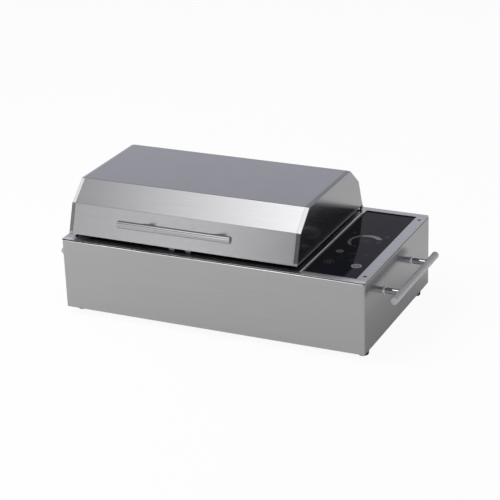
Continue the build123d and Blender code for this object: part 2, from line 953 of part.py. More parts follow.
def element_wires():
    # Two leads from the element's tabs down to the board, one above the other
    x = element_out + element_tab_bore_start
    turn_x = x + 10
    mouth_y = terminal_mouth(-1) + wire_seat
    end_z = board_top + terminal_wire_height
    leads = []
    for i, (y, terminal_x) in enumerate(zip(element_end_places(), terminal_places())):
        cross_z = board_top + wire_spread - (2 - i) * terminal_pitch / 2
        points = [
            (x, y, element_z),
            (turn_x, y, element_z),
            (turn_x, y, cross_z),
            (terminal_x, mouth_y - 22, cross_z),
            (terminal_x, mouth_y - 22, end_z),
            (terminal_x, mouth_y, end_z)]
        leads.append(wire(wire_radius, points, [4, 6, 6, 6]))
    return leads


def ribbon_cable():
    return block(
        around(board_x, ribbon_width), around(ribbon_y, ribbon_thickness),
        (board_top, touch_board_top - board_thickness))


def gland():
    # A cord gland in the back wall: hexagon collar, domed cap and a threaded neck inside
    wall = half_depth

    def along(radius, start, end):
        return rod(radius, (gland_x, wall + start, gland_height), (gland_x, wall + end, gland_height))

    outside = Plane(origin=(gland_x, wall, gland_height), z_dir=(0, 1, 0))
    collar = outside * extrude(RegularPolygon(gland_collar, 6), gland_collar_height)
    cap = along(gland_cap, gland_collar_height, gland_reach)
    cap = fillet(cap.edges().group_by(Axis.Y)[-1], 2.0)
    neck = along(gland_thread, -gland_inner_reach, past)
    return collar + cap + neck - along(gland_bore, -gland_inner_reach - past, gland_reach + past)


def gland_nut():
    inner = half_depth - sheet
    facing = Plane(origin=(gland_x, inner, gland_height), z_dir=(0, -1, 0))
    nut = facing * extrude(RegularPolygon(gland_collar, 6), gland_nut_height)
    return nut - rod(
        gland_thread, (gland_x, inner - gland_nut_height - past, gland_height),
        (gland_x, inner + past, gland_height))


def earth_stud():
    x = board_x + earth_stud_offset
    y = block_y - earth_stud_gap
    stud = post(earth_stud_radius, x, y, (floor_top, floor_top + earth_stud_length))
    stud += post(earth_washer_radius, x, y, (floor_top, floor_top + past))
    return stud + hex_nut(x, y, floor_top + earth_nut_rise, earth_stud_radius, base_nut_size, base_nut_height)


# Bar handles, built in their own frame: the bar runs along X and stands out along Z


def handle_bar():
    half = bar_length / 2
    bar = rod(bar_radius, (-half, 0, bar_reach), (half, 0, bar_reach))
    return chamfer(bar.edges().filter_by(GeomType.CIRCLE), bar_chamfer)


def handle_posts():
    half = bar_length / 2
    posts = []
    for x in spread(post_spacing / 2):
        collar = post(post_collar_radius, x, 0, (0, post_collar_height))
        collar = chamfer(collar.edges().group_by(Axis.Z)[-1], post_collar_chamfer)
        stem = post(post_radius, x, 0, (0, bar_reach)) + collar
        stem -= rod(bar_radius, (-half, 0, bar_reach), (half, 0, bar_reach))
        posts.append(stem - post(handle_screw_radius, x, 0, (-past, handle_screw_grip)))
    return posts


def handle_screws():
    return [
        socket_screw(
            x, 0, -sheet, handle_screw_grip, handle_screw_radius,
            handle_screw_head, handle_screw_head_height, handle_screw_socket)
        for x in spread(post_spacing / 2)]


def save_handle(name, plane):
    save(f"{name}_handle_bar", plane * handle_bar())
    save(f"{name}_handle_posts", *[plane * stem for stem in handle_posts()])
    save(f"{name}_handle_screws", *[plane * screw for screw in handle_screws()])


def lid_handle_plane():
    origin = (lid_middle, lid_handle_y, lid_low + lid_handle_height)
    return Plane(origin=origin, x_dir=(1, 0, 0), z_dir=lid_panel_out)


def side_handle_plane(side):
    return Plane(origin=(side * half_width, 0, side_handle_height), x_dir=(0, side, 0), z_dir=(side, 0, 0))


# Lid, open below: one folded sheet and two end caps


def lid_end_x(side):
    return lid_right if side > 0 else lid_left


def end_plane(x):
    # A plane across the lid, whose own X runs along the depth and Y upwards
    return Plane(origin=(x, 0, 0), x_dir=(0, 1, 0), z_dir=(1, 0, 0))


def lid_section(inset):
    # The lid's outline seen from the end, run on below the rim, shrunk by an inset
    skirt = 12.0
    half = [
        (lid_end + skirt * math.tan(lean), lid_low - skirt),
        (lid_end - lid_break_inset, lid_low + lid_break_height),
        (lid_end - lid_top_inset, lid_low + lid_height)]
    outline = half + [(-y, z) for y, z in reversed(half)]
    face = make_face(Polyline(*outline, close=True))
    if inset:
        face = offset(face, amount=-inset, kind=Kind.INTERSECTION)
    folds = face.vertices().filter_by(lambda v: v.Y > lid_low)
    return fillet(folds, max(lid_fold_radius - inset, 0.3))


def lid_solid(inset, x):
    return end_plane(x[0]) * extrude(lid_section(inset), x[1] - x[0])


def lid_wide_block(z):
    # A block wider and deeper than the lid
    return block((lid_left - far_past, lid_right + far_past), spread(lid_end + far_past), z)


def lid_shell():
    seam = lid_band_width + lid_seam
    x = (lid_left + seam, lid_right - seam)
    shell = lid_solid(0, x) - lid_solid(sheet, (x[0] - past, x[1] + past)) - lid_wide_block((0, lid_low))
    plane = lid_handle_plane()
    for offset_x in spread(post_spacing / 2):
        shell -= plane * post(handle_screw_hole, offset_x, 0, (-2 * sheet, 2 * sheet))
    return shell


def lid_cap(side):
    # A narrow band that falls away slightly, an end wall, a lap under the shell and a hinge ear
    end = lid_end_x(side)
    inner = end - side * lid_band_width
    lap = inner - side * lid_lap
    band = loft([end_plane(inner) * lid_section(0), end_plane(end) * lid_section(lid_band_drop)])
    corner = lid_solid(0, sorted((inner, end)))
    corner -= lid_wide_block((lid_low + lid_band_foot, lid_low + 2 * lid_height))
    body = band + corner + lid_solid(sheet, sorted((lap, inner)))
    body -= lid_solid(sheet + lid_band_drop, sorted((lap - side, end - side * sheet)))
    body -= lid_wide_block((0, lid_low))
    ear_x = sorted((end - side * sheet, end))
    ear = rod(ear_radius, (ear_x[0], pin_y, pin_z), (ear_x[1], pin_y, pin_z))
    ear += block(ear_x, (pin_y - ear_radius, pin_y + ear_radius * 0.6), (pin_z, lid_low + ear_root))
    tab_x = hinge_tab_range(side)
    tab_reach = math.hypot(pin_z - frame_top, hinge_tab_radius) + hinge_relief
    relief = rod(
        tab_reach, (tab_x[0] - hinge_side_clearance, pin_y, pin_z),
        (tab_x[1] + hinge_side_clearance, pin_y, pin_z))
    bore = rod(pin_radius + pin_clearance, (ear_x[0] - past, pin_y, pin_z), (ear_x[1] + past, pin_y, pin_z))
    return body + ear - relief - bore


# Lid hinge: tabs on the frame plate, pins through the caps' ears


def hinge_tab_range(side):
    near = lid_end_x(side) - side * (sheet + hinge_side_clearance)
    return sorted((near, near - side * hinge_tab_thickness))


def hinge_tab(side):
    x = hinge_tab_range(side)
    tab = rod(hinge_tab_radius, (x[0], pin_y, pin_z), (x[1], pin_y, pin_z))
    tab += block(x, (well_end + hinge_tab_setback, pin_y + hinge_tab_radius), (frame_top, pin_z))
    return tab - rod(pin_radius, (x[0] - past, pin_y, pin_z), (x[1] + past, pin_y, pin_z))


def hinge_pin(side):
    x = hinge_tab_range(side)
    tail = x[0] - pin_tail if side > 0 else x[1] + pin_tail
    head = lid_end_x(side) + side * hinge_side_clearance
    pin = rod(pin_radius, (tail, pin_y, pin_z), (head, pin_y, pin_z))
    cap = rod(pin_head_radius, (head, pin_y, pin_z), (head + side * pin_head_height, pin_y, pin_z))
    return pin + fillet(cap.edges().group_by(Axis.X)[-1 if side > 0 else 0], 0.5)


# Two tabs under the lid's front edge, whose rubber feet carry the closed lid


def rest_places():
    return [lid_middle + x for x in spread(rest_tab_spacing / 2)]


def rest_tab(x):
    # Fixed to the inside of the front panel, dropping just below its edge
    inner = -lid_end + sheet / math.cos(lean)
    low = lid_low - rest_tab_height
    shift = rest_tab_rise * math.tan(lean)
    points = [
        (inner + shift, lid_low + rest_tab_rise),
        (inner, lid_low),
        (-lid_end, lid_low),
        (-lid_end, low),
        (-lid_end + rest_tab_thickness + rest_tab_toe, low),
        (inner + rest_tab_thickness, lid_low),
        (inner + rest_tab_thickness + shift, lid_low + rest_tab_rise)]
    face = make_face(Polyline(*points, close=True))
    return end_plane(x - rest_tab_width / 2) * extrude(face, rest_tab_width)


def rest_foot(x):
    y = (-lid_end + rest_foot_setback, -lid_end + rest_tab_thickness + rest_tab_toe - rest_foot_setback)
    z = (frame_top + rest_foot_clearance, lid_low - rest_tab_height)
    pad = block(around(x, rest_tab_width - 2 * rest_foot_inset), y, z)
    return fillet(pad.edges().group_by(Axis.Z)[0], rest_foot_round)


def build():
    os.makedirs("parts", exist_ok=True)

    for name, panel in housing_panels().items():
        save(name, panel)
    save("base_plate", base_plate())
    save("feet", *[foot(x, y) for x, y in foot_places()])
    save("foot_screws", *[foot_screw(x, y) for x, y in foot_places()])
    save("base_screws", *[base_screw(x, y) for x, y in base_screw_places()])
    nuts = [
        hex_nut(x, y, floor_top, foot_screw_radius, base_nut_size, base_nut_height)
        for x, y in foot_places() + base_screw_places()]
    save("base_nuts", *nuts)

    save("top_frame", top_frame())
    save("seam_gasket", seam_gasket())
    save("frame_screws", *[frame_screw(x, y) for x, y in frame_screw_places()])
    nut_z = housing_height - sheet - frame_nut_height
    nuts = [
        hex_nut(x, y, nut_z, frame_screw_radius, frame_nut_size, frame_nut_height)
        for x, y in frame_screw_places()]
    save("frame_nuts", *nuts)

    save("cook_well", cook_well())
    save("heating_element", heating_element())
    save("well_bushes", *well_bushes())
    save("element_supports", *element_supports())
    save("element_terminals", *element_terminals())
    save("temperature_sensor", temperature_sensor())
    save("thermal_limiter", thermal_limiter())
    save("drip_tray", drip_tray())
    save("underfloor_shield", underfloor_shield())
    save("heat_shield", heat_shield())
    save("grate", grate())

    save("control_glass", control_glass())
    save("glass_seal", glass_seal())
    save("panel_carrier", panel_carrier())
    save("carrier_screws", *[carrier_screw(x, side) for x, side in carrier_screw_places()])
    save("touch_board", touch_board())
    save("touch_keys", *touch_keys())
    save("display_module", display_module())

    save("power_board", power_board())
    save("board_standoffs", *[standoff(x, y) for x, y in standoff_places()])
    save("relays", *relays())
    save("transformer", transformer())
    save("capacitors", *capacitors())
    save("board_terminals", *board_terminals())
    save("terminal_block", terminal_block())
    save("mains_wires", *mains_wires())
    save("element_wires", *element_wires())
    save("ribbon_cable", ribbon_cable())
    save("cord_gland", gland())
    save("gland_nut", gland_nut())
    save("earth_stud", earth_stud())

    save_handle("right", side_handle_plane(1))
    save_handle("left", side_handle_plane(-1))
    save_handle("lid", lid_handle_plane())

    save("lid_shell", lid_shell())
    save("lid_cap_right", lid_cap(1))
    save("lid_cap_left", lid_cap(-1))
    save("hinge_tabs", *[hinge_tab(side) for side in (-1, 1)])
    save("hinge_pins", *[hinge_pin(side) for side in (-1, 1)])
    save("lid_rest_tabs", *[rest_tab(x) for x in rest_places()])
    save("lid_rest_feet", *[rest_foot(x) for x in rest_places()])

    print("hinge axis y, z:", round(pin_y - middle_y, 3), round(pin_z + foot_height, 3))
    print("grate top at rest:", round(ledge_top + grate_web_height + rib_height + foot_height, 3))
    print("middle shift y:", round(-middle_y, 3))
    print("overall height:", round(lid_low + lid_height + foot_height, 3))


build()
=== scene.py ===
import math
import bmesh
import bpy
from mathutils import Matrix, Vector


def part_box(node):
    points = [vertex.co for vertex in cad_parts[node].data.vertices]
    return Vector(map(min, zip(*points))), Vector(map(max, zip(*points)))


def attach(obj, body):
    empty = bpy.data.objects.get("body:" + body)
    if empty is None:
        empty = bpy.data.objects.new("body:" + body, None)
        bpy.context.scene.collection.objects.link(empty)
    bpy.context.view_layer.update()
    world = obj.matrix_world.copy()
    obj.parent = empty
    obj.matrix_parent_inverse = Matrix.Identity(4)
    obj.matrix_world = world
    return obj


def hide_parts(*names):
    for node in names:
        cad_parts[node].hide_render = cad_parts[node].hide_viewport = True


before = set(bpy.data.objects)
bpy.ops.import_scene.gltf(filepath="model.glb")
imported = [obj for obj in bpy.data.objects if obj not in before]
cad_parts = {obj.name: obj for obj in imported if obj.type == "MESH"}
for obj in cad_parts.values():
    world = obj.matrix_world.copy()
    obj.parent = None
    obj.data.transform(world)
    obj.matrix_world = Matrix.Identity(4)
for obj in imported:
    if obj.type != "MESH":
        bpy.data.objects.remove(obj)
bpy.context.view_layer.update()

mm = 0.001
print("frame loaded:", len(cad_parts), "nodes")


# Camera, fitted to the housing's corners in the photo: metres, degrees, and the lens in millimetres

cameraView = {
    "aim": (-0.0086, 0.0276, 0.0807),
    "distance": 2.8977,
    "azimuth": 25.28,
    "elevation": 22.57,
    "roll": -1.99,
    "lens": 123.51,
    "sensor": 36.0,
}


def placeCamera():
    turn = math.radians(cameraView["azimuth"])
    rise = math.radians(cameraView["elevation"])
    roll = math.radians(cameraView["roll"])
    back = Vector((math.sin(turn) * math.cos(rise), -math.cos(turn) * math.cos(rise), math.sin(rise)))
    side = (-back).cross(Vector((0, 0, 1))).normalized()
    above = side.cross(-back)
    across = side * math.cos(roll) + above * math.sin(roll)
    upward = above * math.cos(roll) - side * math.sin(roll)
    lens = bpy.data.cameras.new("mainCamera")
    lens.lens = cameraView["lens"]
    lens.sensor_width = cameraView["sensor"]
    lens.sensor_fit = "HORIZONTAL"
    camera = bpy.data.objects.new("mainCamera", lens)
    bpy.context.scene.collection.objects.link(camera)
    turned = Matrix((across, upward, back)).transposed().to_4x4()
    place = Vector(cameraView["aim"]) + back * cameraView["distance"]
    camera.matrix_world = Matrix.Translation(place) @ turned
    bpy.context.scene.camera = camera


placeCamera()
print("camera placed")


# Handling pieces: pick, settle into the mesh, join and finish

smoothAngle = 35    # degrees


def clearSelection():
    if bpy.context.object and bpy.context.object.mode != "OBJECT":
        bpy.ops.object.mode_set(mode="OBJECT")
    bpy.ops.object.select_all(action="DESELECT")


def pick(piece):
    clearSelection()
    piece.select_set(True)
    bpy.context.view_layer.objects.active = piece


def settle(piece):
    # Place, turn and scale into the mesh
    pick(piece)
    bpy.ops.object.transform_apply(location=True, rotation=True, scale=True)


def joined(pieces, name):
    pick(pieces[0])
    for piece in pieces[1:]:
        piece.select_set(True)
    if len(pieces) > 1:
        bpy.ops.object.join()
    made = bpy.context.view_layer.objects.active
    made.name = name
    made.data.name = name
    return made


def finished(piece, material, body):
    # Normals outwards, edges over the smooth angle kept sharp, finish and body
    pick(piece)
    bpy.ops.object.mode_set(mode="EDIT")
    bpy.ops.mesh.select_all(action="SELECT")
    bpy.ops.mesh.normals_make_consistent(inside=False)
    bpy.ops.object.mode_set(mode="OBJECT")
    bpy.ops.object.shade_smooth_by_angle(angle=math.radians(smoothAngle))
    piece.data.materials.clear()
    piece.data.materials.append(material)
    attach(piece, body)
    clearSelection()
    return piece


# Shader maths: a socket that takes part in sums

class Tap:
    def __init__(self, tree, socket=None):
        self.tree = tree
        self.socket = socket

    def node(self, kind, settings=None, sockets=None, output=0):
        made = self.tree.nodes.new(kind)
        for key, value in (settings or {}).items():
            if key == "stops":
                # A colour ramp's stops, as (place, colour)
                ramp = made.color_ramp
                ramp.interpolation = "EASE"
                while len(ramp.elements) < len(value):
                    ramp.elements.new(0.5)
                for element, (place, colour) in zip(ramp.elements, value):
                    element.position = place
                    element.color = colour
            else:
                setattr(made, key, value)
        for key, value in (sockets or {}).items():
            if isinstance(value, Tap):
                self.tree.links.new(value.socket, made.inputs[key])
            else:
                made.inputs[key].default_value = value
        return Tap(self.tree, made.outputs[output]) if made.outputs else Tap(self.tree)

    def sum(self, operation, first, second):
        return self.node("ShaderNodeMath", {"operation": operation}, {0: first, 1: second})

    def __add__(self, other):
        return self.sum("ADD", self, other)

    def __radd__(self, other):
        return self.sum("ADD", other, self)

    def __sub__(self, other):
        return self.sum("SUBTRACT", self, other)

    def __rsub__(self, other):
        return self.sum("SUBTRACT", other, self)

    def __mul__(self, other):
        return self.sum("MULTIPLY", self, other)

    def __rmul__(self, other):
        return self.sum("MULTIPLY", other, self)

    def between(self, low, high):
        # 0 below low, 1 above high, smooth in the middle
        return self.node(
            "ShaderNodeMapRange", {"interpolation_type": "SMOOTHSTEP"},
            {"Value": self, "From Min": low, "From Max": high})

    def stretched(self, scale):
        return self.node("ShaderNodeMapping", {}, {"Vector": self, "Scale": scale})

    def noise(self, scale, detail=2.0, roughness=0.5):
        return self.node(
            "ShaderNodeTexNoise", {},
            {"Vector": self, "Scale": scale, "Detail": detail, "Roughness": roughness})

    def blended(self, low, high):
        # A colour from low to high as this value goes from 0 to 1
        return self.node(
            "ShaderNodeMix", {"data_type": "RGBA"}, {0: self, 6: fourOf(low), 7: fourOf(high)}, 2)

    def bumped(self, depth, strength):
        return self.node("ShaderNodeBump", {}, {"Height": self, "Distance": depth, "Strength": strength})


def fourOf(colour):
    if isinstance(colour, Tap):
        return colour
    return (*colour, 1.0) if len(colour) == 3 else colour


def startFinish(name):
    material = bpy.data.materials.new(name)
    material.use_nodes = True
    material.node_tree.nodes.clear()
    tap = Tap(material.node_tree)
    place = tap.node("ShaderNodeTexCoord", {}, {}, "Object")
    return material, tap, place


def closeFinish(tap, sockets):
    # Principled surface into the material's output
    sockets = {key: fourOf(value) if key.endswith("Color") else value for key, value in sockets.items()}
    surface = tap.node("ShaderNodeBsdfPrincipled", {}, sockets)
    tap.node("ShaderNodeOutputMaterial", {}, {"Surface": surface})


def dress(material, *names):
    for name in names:
        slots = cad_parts[name].data.materials
        slots.clear()
        slots.append(material)


# Finishes that several pieces share

sharedGrain = {
    "toneSpan": (0.3, 0.7),       # the part of a noise that goes from the dark tone to the light one
    "fineTone": 0.55,             # the fine grain's share in tone and roughness; streaks make the rest
    "fineBump": 0.85,             # its share in the bump
    "fineRoughness": 0.6,
    "metalBump": 0.5,
    "skinBump": 0.6,
}


def aroundTone(tone, spread):
    # The tone a little darker, and a little lighter
    return [v * (1 - spread) for v in tone], [min(1.0, v * (1 + spread)) for v in tone]


def brushedSteel(name, look):
    # Fine grain drawn out along the brushing, wider faint streaks and a few soft smears
    material, tap, place = startFinish(name)
    fine = place.stretched(look["grain"]).noise(1.0, 3.0, sharedGrain["fineRoughness"])
    streak = place.stretched([v * look["streakScale"] for v in look["grain"]]).noise(1.0)
    cloud = place.noise(look["cloudScale"])
    mixture = sharedGrain["fineTone"] * fine + (1 - sharedGrain["fineTone"]) * streak
    height = sharedGrain["fineBump"] * fine + (1 - sharedGrain["fineBump"]) * streak
    tone = mixture.between(*sharedGrain["toneSpan"]).blended(*aroundTone(look["tone"], look["contrast"]))
    if "paintedHighlightTone" in look:
        # Painted highlight: a brighter strip at the front, by depth
        depth = tap.node("ShaderNodeSeparateXYZ", {}, {"Vector": place}, "Y")
        tone = depth.between(*look["paintedHighlightStrip"]).blended(look["paintedHighlightTone"], tone)
    grainRough = (mixture - 0.5) * look["grainRoughness"]
    cloudRough = (cloud - 0.5) * look["cloudRoughness"]
    closeFinish(tap, {
        "Base Color": tone, "Metallic": 1.0, "Roughness": look["roughness"] + grainRough + cloudRough,
        "Normal": height.bumped(look["grainDepth"], sharedGrain["metalBump"])})
    return material


def plainMetal(name, look):
    # Turned, cast or plated metal: a soft cloud in tone and roughness, and a shallow grain
    material, tap, place = startFinish(name)
    cloud = place.noise(look["cloudScale"], 3.0)
    speck = place.noise(look["speckScale"])
    closeFinish(tap, {
        "Base Color": cloud.between(*sharedGrain["toneSpan"]).blended(look["tone"], look["toneTwo"]),
        "Metallic": look["metal"],
        "Roughness": look["roughness"] + (speck - 0.5) * look["roughSpread"],
        "Normal": speck.bumped(look["depth"], sharedGrain["metalBump"])})
    return material


def moulded(name, look):
    # Plastic, rubber, ceramic: one tone with a fine skin texture
    material, tap, place = startFinish(name)
    skin = place.noise(look["skinScale"], 3.0)
    cloud = place.noise(look["cloudScale"])
    tones = aroundTone(look["tone"], look["spread"])
    closeFinish(tap, {
        "Base Color": cloud.between(*sharedGrain["toneSpan"]).blended(*tones),
        "Roughness": look["roughness"] + (skin - 0.5) * look["roughSpread"],
        "Specular IOR Level": look["shine"],
        "Normal": skin.bumped(look["depth"], sharedGrain["skinBump"])})
    return material


# Housing

housingLook = {
    "tone": (0.42, 0.42, 0.425),
    "roughness": 0.2,
    "grain": (30, 30, 2600),
    "streakScale": 0.18,
    "contrast": 0.035,
    "cloudScale": 9.0,
    "grainRoughness": 0.08,
    "cloudRoughness": 0.04,
    "grainDepth": 0.00003,
}
# The side walls' steel, darker than the front and back's: painted shade
shadedSideWallLook = dict(housingLook, tone=(0.385, 0.378, 0.388))

plateLook = {
    "tone": (0.66, 0.66, 0.665),
    "roughness": 0.27,
    "grain": (30, 2600, 2600),
    "streakScale": 0.18,
    "contrast": 0.03,
    "cloudScale": 9.0,
    "grainRoughness": 0.04,
    "cloudRoughness": 0.04,
    "grainDepth": 0.000025,
    # The front strip's brighter tone is a painted highlight
    "paintedHighlightTone": (0.97, 0.97, 0.975),
    "paintedHighlightStrip": (-146 * mm, -139 * mm),
}

gasketLook = {
    "tone": (0.012, 0.012, 0.013),
    "spread": 0.15,
    "roughness": 0.7,
    "roughSpread": 0.1,
    "shine": 0.3,
    "skinScale": 900.0,
    "cloudScale": 40.0,
    "depth": 0.00003,
}

footLook = dict(gasketLook, tone=(0.02, 0.02, 0.021), skinScale=1400.0)

platedLook = {
    "tone": (0.50, 0.51, 0.53),
    "toneTwo": (0.60, 0.60, 0.58),
    "metal": 1.0,
    "roughness": 0.36,
    "roughSpread": 0.14,
    "cloudScale": 60.0,
    "speckScale": 420.0,
    "depth": 0.00002,
}

screwLook = dict(platedLook, tone=(0.52, 0.52, 0.53), toneTwo=(0.62, 0.62, 0.62), roughness=0.28)
darkScrewLook = dict(platedLook, tone=(0.05, 0.05, 0.055), toneTwo=(0.09, 0.09, 0.095), roughness=0.42)


def dressHousing():
    dress(brushedSteel("housingSteel", housingLook), "housing_front", "housing_back")
    # Side walls get the darker copy of the steel, painted shade
    dress(brushedSteel("shadedSideWallSteel", shadedSideWallLook), "housing_right", "housing_left")
    dress(brushedSteel("plateSteel", plateLook), "top_frame")
    dress(moulded("gasketRubber", gasketLook), "seam_gasket", "glass_seal")
    dress(moulded("footRubber", footLook), "feet", "lid_rest_feet")
    dress(plainMetal("platedSheet", platedLook), "base_plate", "underfloor_shield", "heat_shield")
    dress(
        plainMetal("screwSteel", screwLook),
        "right_handle_screws", "left_handle_screws", "lid_handle_screws", "base_nuts", "base_screws",
        "frame_nuts", "foot_screws", "carrier_screws", "gland_nut", "board_standoffs", "hinge_pins")
    dress(plainMetal("darkScrew", darkScrewLook), "frame_screws", "hinge_tabs")


dressHousing()
print("housing dressed")


# Lid

lidLook = {
    "tone": (0.42, 0.42, 0.43),
    "roughness": 0.19,
    "grain": (30, 2600, 2600),
    "streakScale": 0.18,
    "contrast": 0.035,
    "cloudScale": 8.0,
    "grainRoughness": 0.08,
    "cloudRoughness": 0.04,
    "grainDepth": 0.00013,
}

capLook = dict(lidLook, grain=(2600, 30, 2600), grainDepth=0.00001)
tabLook = dict(lidLook, tone=(0.16, 0.16, 0.165), roughness=0.35)


def dressLid():
    dress(brushedSteel("lidSteel", lidLook), "lid_shell")
    dress(brushedSteel("tabSteel", tabLook), "lid_rest_tabs")
    dress(brushedSteel("capSteel", capLook), "lid_cap_right", "lid_cap_left")


dressLid()
print("lid dressed")


# Bar handles

barLook = {
    "tone": (0.44, 0.44, 0.44),
    "roughness": 0.07,
    "grain": (40, 2600, 2600),
    "streakScale": 0.25,
    "contrast": 0.03,
    "cloudScale": 20.0,
    "grainRoughness": 0.05,
    "cloudRoughness": 0.03,
    "grainDepth": 0.000004,
}
# The side bars' tone, lighter than the lid bar's, is painted light; their roughness is their own
litSideBarLook = dict(barLook, grain=(2600, 40, 2600), tone=(0.70, 0.70, 0.70), roughness=0.68)

chromeLook = {
    "tone": (0.50, 0.50, 0.51),
    "toneTwo": (0.56, 0.56, 0.57),
    "metal": 1.0,
    "roughness": 0.06,
    "roughSpread": 0.03,
    "cloudScale": 50.0,
    "speckScale": 600.0,
    "depth": 0.000002,
}


def dressHandles():
    dress(brushedSteel("barSteelLid", barLook), "lid_handle_bar")
    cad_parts["lid_handle_bar"].visible_glossy = False    # the lid's grain blurs its image away
    dress(brushedSteel("litSideBarSteel", litSideBarLook), "right_handle_bar", "left_handle_bar")
    dress(
        plainMetal("postChrome", chromeLook),
        "right_handle_posts", "left_handle_posts", "lid_handle_posts")


dressHandles()
print("handles dressed")


# Tubes along Y: stations are (y, radius) pairs, and the last is the first again

def ringBetween(name, sides, stations):
    first = stations[0]
    bpy.ops.mesh.primitive_circle_add(
        vertices=sides, radius=first[1], fill_type="NOTHING", location=(0, first[0], 0),
        rotation=(math.radians(90), 0, 0))
    tube = bpy.context.object
    tube.name = name
    settle(tube)
    bpy.ops.object.mode_set(mode="EDIT")
    bpy.ops.mesh.select_all(action="SELECT")
    for (y0, r0), (y1, r1) in zip(stations, stations[1:]):
        bpy.ops.mesh.extrude_edges_move(TRANSFORM_OT_translate={"value": (0, y1 - y0, 0)})
        bpy.ops.transform.resize(value=(r1 / r0, 1, r1 / r0), center_override=(0, y1, 0))
    bpy.ops.mesh.select_all(action="SELECT")
    bpy.ops.mesh.remove_doubles(threshold=0.001 * mm)
    bpy.ops.object.mode_set(mode="OBJECT")
    return tube


# Polished rings where the side posts meet the walls; their near-white tone, lighter than the posts', is
# a painted highlight

ringShape = {
    "bore": 4.6 * mm,
    "radius": 6.6 * mm,
    "thick": 1.9 * mm,
    "round": 0.5 * mm,
    "roundMiddle": 0.3,           # how far the rounding's middle point is cut back, as a share of it
    "sides": 48,
    "collar": 5.7 * mm,
}
# Near-white tone: painted highlight
litRingLook = dict(chromeLook, tone=(0.84, 0.84, 0.85), toneTwo=(0.90, 0.90, 0.91), roughness=0.3)


def buildRings():
    shape = ringShape
    bore, radius, thick = shape["bore"], shape["radius"], shape["thick"]
    cut = shape["roundMiddle"] * shape["round"]
    profile = [
        (0, bore), (0, radius), (thick - shape["round"], radius), (thick - cut, radius - cut),
        (thick, radius - shape["round"]), (thick, bore), (0, bore)]
    finish = plainMetal("litRingSteel", litRingLook)
    wallX = {"right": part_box("housing_right")[1].x, "left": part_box("housing_left")[0].x}
    for side, turn in (("right", -90), ("left", 90)):
        low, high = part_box(side + "_handle_posts")
        rings = []
        for y in (low.y + shape["collar"], high.y - shape["collar"]):
            clearSelection()
            ring = ringBetween("ring", shape["sides"], profile)
            ring.rotation_euler = (0, 0, math.radians(turn))
            ring.location = (wallX[side], y, (low.z + high.z) / 2)
            settle(ring)
            rings.append(ring)
        finished(joined(rings, side + "PostRings"), finish, "root")


buildRings()
print("post rings built")


# Fine lines: the front wall's hem, a black bead over it, a trim left of the glass; the hem's and trim's
# near-white tone is a painted highlight, the bead's black is painted shade in the seam

# Reach is from a rod's middle to its flat side, rise is over the wall's top, proud is out of its face
edgeShape = {
    "hemReach": 0.72 * mm,
    "hemSides": 8,
    "hemRise": -0.12 * mm,
    "hemProud": 0.38 * mm,
    "beadReach": 0.85 * mm,
    "beadSides": 4,
    "beadRise": 1.5 * mm,
    "beadProud": 0.22 * mm,
    "trimRadius": 0.75 * mm,
    "trimSides": 24,
    "endRound": 0.3 * mm,
    "endSteps": 2,
    "endAngle": 60,
}
# Near-white steel for the hem and trim: a painted highlight
highlightEdgeLook = dict(screwLook, tone=(0.95, 0.95, 0.96), toneTwo=(0.98, 0.98, 0.98), roughness=0.22)


def edgeRod(name, start, end, radius, sides):
    # A thin rod with rounded ends, from start to end; one side of it faces straight up
    clearSelection()
    run = Vector(end) - Vector(start)
    bpy.ops.mesh.primitive_cylinder_add(vertices=sides, radius=radius, depth=run.length)
    rod = bpy.context.object
    rod.name = name
    rod.data.name = name
    rod.rotation_euler = (0, 0, math.pi / sides)
    settle(rod)
    rod.rotation_euler = run.to_track_quat("Z", "Y").to_euler()
    rod.location = (Vector(start) + Vector(end)) / 2
    settle(rod)
    ends = rod.modifiers.new("ends", "BEVEL")
    ends.width = edgeShape["endRound"]
    ends.segments = edgeShape["endSteps"]
    ends.limit_method = "ANGLE"
    ends.angle_limit = math.radians(edgeShape["endAngle"])
    bpy.ops.object.modifier_apply(modifier="ends")
    return rod


def cornerRadius(reach, sides):
    # From the middle to a corner, where reach is to the middle of a side
    return reach / math.cos(math.pi / sides)


def buildEdges():
    shape = edgeShape
    finish = plainMetal("highlightEdgeSteel", highlightEdgeLook)
    low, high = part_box("housing_front")
    reach, sides = shape["hemReach"], shape["hemSides"]
    y = low.y - shape["hemProud"] + reach
    z = high.z + shape["hemRise"]
    hem = edgeRod(
        "frontHemHighlight", (low.x + reach, y, z), (high.x - reach, y, z), cornerRadius(reach, sides), sides)
    finished(hem, finish, "root")
    reach, sides = shape["beadReach"], shape["beadSides"]
    y = low.y - shape["beadProud"] + reach
    z = high.z + shape["beadRise"]
    # The black bead stands in for the seam's shadow: painted shade
    bead = edgeRod("seamShadeBead", (low.x, y, z), (high.x, y, z), cornerRadius(reach, sides), sides)
    finished(bead, moulded("seamShadeBlack", gasketLook), "root")
    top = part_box("top_frame")[1].z
    low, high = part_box("glass_seal")
    radius = shape["trimRadius"]
    x = low.x - radius
    trim = edgeRod("glassTrimHighlight", (x, low.y, top), (x, high.y, top), radius, shape["trimSides"])
    finished(trim, finish, "root")


buildEdges()
print("edge lines built")


# Cooking well and what lies in it

wellLook = dict(lidLook, tone=(0.44, 0.435, 0.43), grain=(60, 60, 900), roughness=0.3)
trayLook = dict(platedLook, tone=(0.66, 0.66, 0.66), toneTwo=(0.74, 0.74, 0.73), roughness=0.3)
ceramicLook = dict(gasketLook, tone=(0.78, 0.76, 0.7), roughness=0.35, shine=0.5, skinScale=300.0)

tubeLook = {
    "tone": (0.075, 0.068, 0.062),
    "toneTwo": (0.14, 0.12, 0.105),
    "metal": 0.8,
    "roughness": 0.48,
    "roughSpread": 0.2,
    "cloudScale": 45.0,
    "speckScale": 900.0,
    "depth": 0.00003,
}

